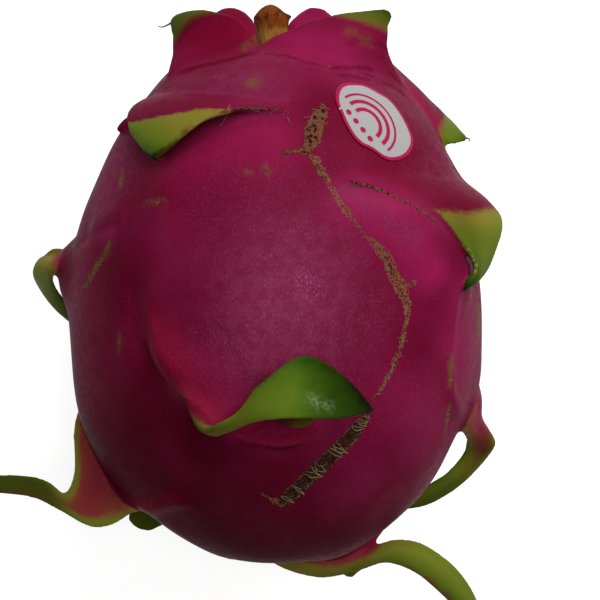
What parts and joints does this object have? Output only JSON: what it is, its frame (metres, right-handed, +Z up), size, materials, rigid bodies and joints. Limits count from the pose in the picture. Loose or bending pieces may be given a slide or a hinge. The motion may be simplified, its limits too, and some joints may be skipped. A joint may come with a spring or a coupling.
{
  "type": "dragon fruit",
  "caption": "Whole ripe dragon fruit lying on its back: egg-shaped magenta rind with curling green-tipped leafy scales, a cut stem stub and a small oval sticker.",
  "frame": {"origin": "middle of the small flat spot on the fruit's back that it rests on", "axes": "+Y along the fruit's core towards the cut stem, +Z up, +X to the right when looking down on the fruit with its stem away from the viewer"},
  "size_m": [0.1404, 0.1643, 0.1035],
  "materials": {
    "rind": "waxy satin skin, magenta to pink with green scale tips",
    "cut_stem": "dry tan stem, brown at the cut end",
    "dried_flower": "brittle, fibrous dark brown",
    "sticker_paper": "smooth coated paper with a pink rim and a plain printed motif"
  },
  "bodies": {
    "root": {"fruit": "rind", "stem_stub": "cut_stem", "flower_scar": "dried_flower", "sticker": "sticker_paper"}
  },
  "joints": []
}
